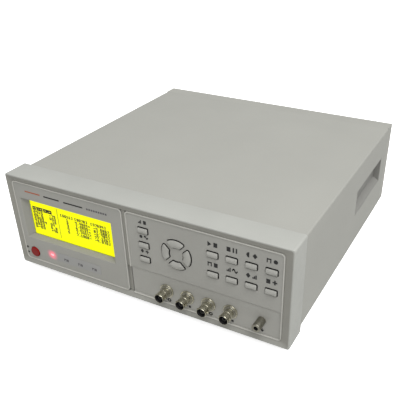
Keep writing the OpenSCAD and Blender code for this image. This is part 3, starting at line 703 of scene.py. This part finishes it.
def post():
    u, v = middle("ground_post")
    _, _, tip, back, _, _ = span("ground_post")
    bm = bmesh.new()
    lathe(bm, u, v, [(0.5, back), (2.7, back), (3.0, back - 0.3), (3.0, 2.4), (4.2, 2.4), (4.2, tip + 0.6),
                     (4.05, tip + 0.2), (3.7, tip), (2.4, tip), (2.15, tip + 0.1), (2.05, tip + 0.4),
                     (2.05, tip + 10), (0.5, tip + 10.4)], 48)
    # Painted shade: the bore of the post is black.
    turning = repaint(piece("post_turning", bm, POST, ROOT), PAINTED_GAP_SHADE,
                      lambda x, d, y: tip + 0.3 < d < tip + 11 and math.hypot(x - u, y - v) < 2.2)
    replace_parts(turning, "ground_post")


# ---------------------------------------------------------------- rear sockets

def serial_insert():
    """Black insulator with two rows of pins, inside the small shell."""
    u0, u1, _, _, v0, v1 = span("serial_port")
    floor, pitch = 309.0, 2.7
    cu, cv = (u0 + u1) / 2, (v0 + v1) / 2
    bm = bmesh.new()
    slab(bm, u0 + 7.9, u1 - 7.9, floor - 0.2, floor + 0.6, v0 + 3.4, v1 - 3.4)
    piece("serial_insulator", bm, BLACK, ROOT, smooth=False)
    bm = bmesh.new()
    for count, v in ((5, cv + 1.4), (4, cv - 1.4)):
        for k in range(count):
            u = cu + (k - (count - 1) / 2) * pitch
            pin = [(0.2, floor + 2.8), (0.4, floor + 2.7), (0.5, floor + 2.3), (0.5, floor + 0.4)]
            lathe(bm, u, v, pin, 12)
    piece("serial_pins", bm, GOLD, ROOT)


def handler_insert():
    """Tongue with rows of flat contacts above and below, inside the long shell."""
    u0, u1, _, _, v0, v1 = span("handler_port")
    floor, count = 308.6, 18
    cv = (v0 + v1) / 2
    left, right = u0 + 12, u1 - 12
    bm = bmesh.new()
    slab(bm, u0 + 9.2, u1 - 9.2, floor - 0.2, floor + 0.5, v0 + 4.2, v1 - 4.2)
    slab(bm, left, right, floor + 0.4, floor + 3.0, cv - 1.1, cv + 1.1)
    piece("handler_tongue", bm, BLACK, ROOT, smooth=False)
    bm = bmesh.new()
    pitch = (right - left - 2) / count
    for k in range(count):
        u = left + 1 + (k + 0.5) * pitch
        for v in (cv - 1.15, cv + 1.15):
            slab(bm, u - 0.55, u + 0.55, floor + 0.6, floor + 2.8, v - 0.15, v + 0.15)
    piece("handler_contacts", bm, GOLD, ROOT, smooth=False)


# ---------------------------------------------------------------- display and lamps

DIGITS = {
    "0": ("111", "101", "101", "101", "111"), "1": ("010", "110", "010", "010", "111"),
    "2": ("111", "001", "111", "100", "111"), "3": ("111", "001", "111", "001", "111"),
    "4": ("101", "101", "111", "001", "001"), "5": ("111", "100", "111", "001", "111"),
    "6": ("111", "100", "111", "101", "111"), "7": ("111", "001", "001", "010", "010"),
    "8": ("111", "101", "111", "101", "111"), "9": ("111", "101", "111", "001", "111"),
    "-": ("000", "000", "111", "000", "000"), ".": ("000", "000", "000", "000", "010"),
    ":": ("000", "010", "000", "010", "000"), "[": ("110", "100", "100", "100", "110"),
    "]": ("011", "001", "001", "001", "011"), "%": ("101", "001", "010", "100", "101"),
    "+": ("000", "010", "111", "010", "000"), " ": ("000",) * 5,
}
DOT_U, DOT_V = 0.55, 0.6


def typed(text, seed):
    """Replaces each # with a digit, always the same for the same seed."""
    rng = random.Random(seed)
    return "".join(str(rng.randrange(10)) if c == "#" else c for c in text)


def dot_runs(text):
    """Horizontal runs of dots: (column, row, length)."""
    rows = ["0".join(DIGITS[c][r] for c in text) for r in range(5)]
    for r, row in enumerate(rows):
        start = None
        for k, dot in enumerate(row + "0"):
            if dot == "1" and start is None:
                start = k
            elif dot == "0" and start is not None:
                yield start, r, k - start
                start = None


def dot_text(bm, text, u, v, d, advance=1.0):
    """Dots of a line of text whose left edge is u and whose middle is v."""
    for column, row, length in dot_runs(text):
        left, top = u + column * DOT_U * advance, v + (2.5 - row) * DOT_V
        right = left + length * DOT_U * advance
        slab(bm, left - 0.1, right + 0.1, d - 0.04, d + 0.01, top - DOT_V - 0.08, top)


def display():
    """Dots of the display: settings on the left, a line, then numbered readings in two columns."""
    d = span("lcd_glass")[2]
    left, top = 19.7, 76.6
    dots = bmesh.new()
    # inverted heading over the settings column: a dark bar with the figures left clear
    bar_u, bar_v = left + 2.6, top - 9.0
    heading, wide = "-1:-1-.-", DOT_U * 1.35
    dark = {(c, r) for c in range(-1, 33) for r in range(-1, 6)}
    for column, row, length in dot_runs(heading):
        dark -= {(column + k, row) for k in range(length)}
    for row in range(-1, 6):
        start = None
        for column in range(-1, 35):
            if (column, row) in dark and start is None:
                start = column
            elif (column, row) not in dark and start is not None:
                y = bar_v + (2.5 - row) * DOT_V
                slab(dots, bar_u + start * wide, bar_u + column * wide, d - 0.04, d + 0.01, y - DOT_V, y)
                start = None
    for k, (setting, value) in enumerate((("####", "-##"), ("##:#", "###"), ("####", ".##"), ("#####", "##"),
                                          ("####", "#.#"), ("#-##", "+##"))):
        v = top - 13.2 - 3.45 * k
        dot_text(dots, typed(setting, 20 + k), left + 2.0, v, d, 1.5)
        dot_text(dots, typed(value, 40 + k), left + 23.0, v, d, 1.3)
    slab(dots, left + 34.3, left + 34.75, d - 0.04, d + 0.01, top - 36.2, top - 2.4)
    for u, label in ((38.6, "[####]"), (56.8, "[####]"), (76.6, "[#####]")):
        dot_text(dots, typed(label, int(u)), left + u, top - 8.6, d, 1.2)
    for k in range(5):
        v = top - 12.6 - 3.4 * k
        dot_text(dots, str(k + 1), left + 45.4, v, d, 1.3)
        dot_text(dots, typed("#.####", 60 + k), left + 56.6, v, d, 1.2)
        dot_text(dots, "+-+%-"[k], left + 72.8, v, d, 1.3)
        dot_text(dots, typed("##.###" if k % 2 else "-#.###", 80 + k), left + 79.4, v, d, 1.25)
        dot_text(dots, "%", left + 96.4, v, d, 1.1)
    piece("display_dots", dots, PIXEL, ROOT, smooth=False)


def lamps():
    """The lit lens, showing through the strip."""
    strip = span("indicator_strip")
    u, v = LAMP_U, LAMP_V
    bm = bmesh.new()
    core = [(u + 2.4 * math.cos(a), v + 1.3 * math.sin(a)) for a in (2 * math.pi * k / 32 for k in range(32))]
    rings = []
    for t, lift in ((1.0, 0.0), (0.9, 0.1), (0.7, 0.17), (0.4, 0.22), (0.12, 0.24)):
        rings.append([(u + (x - u) * t, strip[2] + 0.02 - lift, v + (y - v) * t) for x, y in core])
    rings.insert(0, [(x, strip[2] + 0.3, y) for x, y in core])
    loft(bm, rings)
    piece("lit_lens", bm, LAMP_ON, ROOT)


# ---------------------------------------------------------------- printed marks

def filled(bm, points, d, thick=0.04):
    loft(bm, [[(u, dd, v) for u, v in points] for dd in (d - thick, d + 0.02)])


def block(bm, u, v, w, h, d):
    w, h = w / 2, h / 2
    filled(bm, [(u - w, v - h), (u + w, v - h), (u + w, v + h), (u - w, v + h)], d)


def dash(bm, u0, u1, v, height, d):
    """One plain bar from u0 to u1, centred on v."""
    block(bm, (u0 + u1) / 2, v, u1 - u0, height, d)


def icon(bm, kind, u, v, d, size=1.0):
    """Small generic key symbols, about 3 mm across."""
    s = size
    if kind == "disc":
        filled(bm, arc_points(u, v, 1.35 * s, 0, 360 * 19 / 20, 19), d)
    elif kind == "square":
        block(bm, u, v, 2.5 * s, 3.0 * s, d)
    elif kind == "play":
        filled(bm, [(u - 1.1 * s, v - 1.7 * s), (u + 1.4 * s, v), (u - 1.1 * s, v + 1.7 * s)], d)
    elif kind == "bars":
        for x in (-0.95, 0.95):
            block(bm, u + x * s, v, 0.95 * s, 3.2 * s, d)
    elif kind == "gate":
        for x in (-1.05, 1.05):
            block(bm, u + x * s, v, 0.7 * s, 3.0 * s, d)
        block(bm, u, v + 0.9 * s, 1.5 * s, 0.9 * s, d)
    elif kind == "diamond":
        filled(bm, [(u, v - 1.8 * s), (u + 1.5 * s, v), (u, v + 1.8 * s), (u - 1.5 * s, v)], d)
    elif kind == "cross":
        block(bm, u, v, 2.9 * s, 0.95 * s, d)
        for y in (-1, 1):
            block(bm, u, v + y * s, 0.95 * s, 1.1 * s, d)
    elif kind == "half":
        filled(bm, arc_points(u + 0.5 * s, v, 1.8 * s, 90, 270, 12), d)
    elif kind == "steps":
        for k in (-1, 0, 1):
            block(bm, u + k * 0.95 * s, v - (1 - k) * 0.45 * s, 0.8 * s, (2.0 + k * 0.9) * s, d)
    elif kind == "wave":
        turns = [k / 12 for k in range(13)]
        curve = [(u + (3.0 * t - 1.5) * s, v + 1.1 * s * math.sin(2 * math.pi * t)) for t in turns]
        stroke(bm, curve, 0.75 * s, d)


KEY_ICONS = {
    "key_side_top": ("steps", "square"), "key_side_middle": ("disc", "wave"),
    "key_side_low": ("diamond", "cross"),
    "key_a1": ("play", "square"), "key_a2": ("square", "bars"), "key_a3": ("half", "diamond"),
    "key_a4": ("gate", "disc"), "key_b1": ("gate", "square"), "key_b2": ("steps", "wave"),
    "key_b3": ("diamond", "steps"), "key_b4": ("square", "cross"),
}


def panel_marks():
    """Plain symbols over keys, under jacks and by the button, and plain bars over the display."""
    face = 1.8
    bm = bmesh.new()
    for name, pair in KEY_ICONS.items():
        u, v = middle(name)
        lift = 8.9 if name.startswith("key_side") else 10.5
        apart, size = (2.7, 1.25) if name.startswith("key_side") else (3.0, 1.5)
        for side, kind in zip((-1, 1), pair):
            icon(bm, kind, u + side * apart, v + lift, face, size)
    field = 2.4
    for (u, v), kind in zip(jack_centres(), ("ring", "box", "ring", "box")):
        u, v = u + 1.2, v - 10.4
        stroke(bm, [(u - 2.9, v), (u - 1.8, v)], 0.85, field)
        if kind == "ring":
            stroke(bm, arc_points(u + 0.8, v, 1.45, 0, 360, 14), 1.0, field)
        else:
            block(bm, u + 0.8, v, 2.4, 2.6, field)
    u, v = middle("ground_post")
    v -= 10.8
    u += 0.8
    stroke(bm, [(u, v + 1.9), (u, v + 0.5)], 0.8, field)
    for k, w in enumerate((1.4, 0.95, 0.5)):
        stroke(bm, [(u - w, v + 0.4 - 0.85 * k), (u + w, v + 0.4 - 0.85 * k)], 0.75, field)
    piece("key_marks", bm, DARK_INK, ROOT, smooth=False)

    bm = bmesh.new()
    # button symbols: out (ring) and in (filled dot)
    stroke(bm, arc_points(8.6, 19.6, 0.8, 0, 360, 16), 0.9, face)
    icon(bm, "disc", 8.7, 13.2, face, 0.9)
    # plain bars along the strip over the display
    dash(bm, 45.7, 65.3, 88.4, 1.5, face)
    dash(bm, 70.8, 94.1, 88.1, 1.5, face)
    piece("title_marks", bm, DARK_INK, ROOT, smooth=False)

    bm = bmesh.new()
    dash(bm, 21.4, 41.0, 88.8, 1.5, face)
    piece("orange_mark", bm, ORANGE_INK, ROOT, smooth=False)

    bm = bmesh.new()
    for k in range(9):
        block(bm, 99.6 + 2.75 * k, 87.9, 2.0, 2.0, face)
    strip = span("indicator_strip")
    for u in (60.8, 79.1, 97.0):
        icon(bm, "gate", u - 1.0, 17.8, strip[2], 1.05)
        block(bm, u + 2.2, 17.8, 2.1, 3.0, strip[2])
    piece("faint_marks", bm, GREY_INK, ROOT, smooth=False)


# ---------------------------------------------------------------- build

def front_edge_weights(name):
    """Node group that gives a bevel weight to the sharp edges in the part's foremost plane."""
    group = bpy.data.node_groups.new(name + "_front_edges", "GeometryNodeTree")
    group.interface.new_socket("Geometry", in_out="INPUT", socket_type="NodeSocketGeometry")
    group.interface.new_socket("Geometry", in_out="OUTPUT", socket_type="NodeSocketGeometry")
    start, end = group.nodes.new("NodeGroupInput"), group.nodes.new("NodeGroupOutput")
    split = group.nodes.new("ShaderNodeSeparateXYZ")
    sharp = group.nodes.new("FunctionNodeCompare")
    sharp.operation = "GREATER_THAN"
    sharp.inputs["B"].default_value = math.radians(30)
    both = group.nodes.new("FunctionNodeBooleanMath")
    ahead = group.nodes.new("FunctionNodeCompare")
    ahead.operation = "LESS_THAN"
    ahead.inputs["B"].default_value = at(0, span(name)[2] + 0.05, 0).y
    store = group.nodes.new("GeometryNodeStoreNamedAttribute")
    store.data_type, store.domain = "FLOAT", "EDGE"
    store.inputs["Name"].default_value = "bevel_weight_edge"
    group.links.new(group.nodes.new("GeometryNodeInputPosition").outputs[0], split.inputs[0])
    group.links.new(split.outputs["Y"], ahead.inputs["A"])
    group.links.new(start.outputs[0], store.inputs["Geometry"])
    angle = group.nodes.new("GeometryNodeInputMeshEdgeAngle")
    group.links.new(angle.outputs["Unsigned Angle"], sharp.inputs["A"])
    group.links.new(ahead.outputs[0], both.inputs[0])
    group.links.new(sharp.outputs[0], both.inputs[1])
    group.links.new(both.outputs[0], store.inputs["Value"])
    group.links.new(store.outputs[0], end.inputs[0])
    return group


def soften(name, width_mm, segments=2, front_only=False):
    """Rounds a CAD part's edges by modifiers: all sharp ones, or only those in its foremost plane."""
    obj = NODES[name]
    weld = obj.modifiers.new("weld", "WELD")
    weld.merge_threshold = 0.00001
    if front_only:
        obj.modifiers.new("front_edges", "NODES").node_group = front_edge_weights(name)
    bevel = obj.modifiers.new("bevel", "BEVEL")
    bevel.width = width_mm * MM
    bevel.segments = segments
    bevel.use_clamp_overlap = True
    bevel.harden_normals = True
    bevel.limit_method = "WEIGHT" if front_only else "ANGLE"
    bevel.angle_limit = math.radians(30)


for name, obj in NODES.items():
    obj.material_slots[0].material = CAD_MATERIALS.get(name, KEY)
for name in ("display_panel", "keypad_panel"):
    soften(name, 0.5, 4, front_only=True)
for name, width in {"rear_frame": 0.5, "left_grip": 0.5, "right_grip": 0.5, "feet": 0.5, "left_tilt_leg": 0.4,
                    "right_tilt_leg": 0.4, "fuse_drawer": 0.25, "power_inlet": 0.3, "serial_port": 0.25,
                    "handler_port": 0.25}.items():
    soften(name, width)
front_moulding()
sheet_cover()
keys()
button()
jacks()
post()
serial_insert()
handler_insert()
display()
lamps()
panel_marks()


# ---------------------------------------------------------------- studio

def camera():
    """Camera at the measured place: 28 degrees to the right, 32 degrees above, slightly rolled."""
    data = bpy.data.cameras.new("camera")
    cam = bpy.data.objects.new("camera", data)
    bpy.context.scene.collection.objects.link(cam)
    azimuth, elevation, roll = (math.radians(a) for a in (27.85, 32.02, -0.5))
    back = Vector((math.sin(azimuth) * math.cos(elevation), -math.cos(azimuth) * math.cos(elevation),
                   math.sin(elevation)))
    cam.matrix_world = (Matrix.Translation(at(439.0, -359.2, 355.6))
                        @ (-back).to_track_quat("-Z", "Y").to_matrix().to_4x4()
                        @ Matrix.Rotation(roll, 4, "Z"))
    data.sensor_fit = "VERTICAL"
    data.sensor_height = 36
    data.sensor_width = 29
    data.lens = 52.27
    data.shift_x = -0.0667
    data.shift_y = 0.0903
    data.clip_start, data.clip_end = 0.01, 20
    bpy.context.scene.camera = cam


def area_light(name, place, target, size, power, colour=(1, 1, 1)):
    data = bpy.data.lights.new(name, "AREA")
    data.shape = "RECTANGLE"
    data.size, data.size_y = size
    data.energy = power
    data.color = colour
    lamp = bpy.data.objects.new(name, data)
    lamp.location = place
    lamp.rotation_euler = (Vector(target) - Vector(place)).to_track_quat("-Z", "Y").to_euler()
    bpy.context.scene.collection.objects.link(lamp)


def pale_floor():
    """White to the camera with a soft shadow, greyer to bounced light, and clear when seen from below."""
    n = Nodes("pale_floor")
    n.finish(Base_Color=n.mix(n.noise(300, 2), (0.95, 0.95, 0.95), (0.97, 0.97, 0.97)), Roughness=0.85)
    output = next(node for node in n.material.node_tree.nodes if node.type == "OUTPUT_MATERIAL")
    seen = output.inputs["Surface"].links[0].from_socket
    bounced = n.add("ShaderNodeBsdfDiffuse")
    n.put(bounced.inputs["Color"], colour4((0.81, 0.81, 0.805)))
    lift = n.add("ShaderNodeEmission")
    n.put(lift.inputs["Strength"], 0.8)
    lifted = n.add("ShaderNodeAddShader")
    n.link(seen, lifted.inputs[0])
    n.link(lift.outputs[0], lifted.inputs[1])
    choice = n.add("ShaderNodeMixShader")
    n.link(n.add("ShaderNodeLightPath").outputs["Is Camera Ray"], choice.inputs[0])
    n.link(bounced.outputs[0], choice.inputs[1])
    n.link(lifted.outputs[0], choice.inputs[2])
    clear = n.add("ShaderNodeBsdfTransparent")
    side = n.add("ShaderNodeMixShader")
    n.link(n.add("ShaderNodeNewGeometry").outputs["Backfacing"], side.inputs[0])
    n.link(choice.outputs[0], side.inputs[1])
    n.link(clear.outputs[0], side.inputs[2])
    n.link(side.outputs[0], output.inputs["Surface"])
    return n.material


def studio_world():
    """Soft white surround; the camera sees it brighter than it lights."""
    world = bpy.data.worlds.new("studio")
    world.use_nodes = True
    tree = world.node_tree
    light = tree.nodes["Background"]
    light.inputs["Color"].default_value = (1, 1, 1, 1)
    light.inputs["Strength"].default_value = 0.36
    seen = tree.nodes.new("ShaderNodeBackground")
    seen.inputs["Color"].default_value = (1, 1, 1, 1)
    choice = tree.nodes.new("ShaderNodeMixShader")
    tree.links.new(tree.nodes.new("ShaderNodeLightPath").outputs["Is Camera Ray"], choice.inputs[0])
    tree.links.new(light.outputs[0], choice.inputs[1])
    tree.links.new(seen.outputs[0], choice.inputs[2])
    tree.links.new(choice.outputs[0], tree.nodes["World Output"].inputs["Surface"])
    bpy.context.scene.world = world


FLOOR_DROP = 0.3  # mm, so that the floor and the feet are not in one plane


def studio():
    """Floor, surround, overhead light and fill light."""
    bm = bmesh.new()
    bmesh.ops.create_grid(bm, x_segments=8, y_segments=8, size=3.0)
    mesh = bpy.data.meshes.new("floor")
    bm.to_mesh(mesh)
    bm.free()
    floor = bpy.data.objects.new("floor", mesh)
    floor.location.z = -FLOOR_DROP * MM
    bpy.context.scene.collection.objects.link(floor)
    mesh.materials.append(pale_floor())
    studio_world()
    sun = bpy.data.lights.new("overhead", "SUN")
    sun.energy = 2.6
    sun.angle = math.radians(55)
    lamp = bpy.data.objects.new("overhead", sun)
    lamp.rotation_euler = Vector((-0.30, 0.10, -0.85)).to_track_quat("-Z", "Y").to_euler()
    bpy.context.scene.collection.objects.link(lamp)
    area_light("fill", (0.5, -0.5, 0.9), (0, 0, 0.05), (0.5, 0.5), 2.6)
    bpy.context.scene.view_settings.view_transform = "Standard"


studio()
camera()
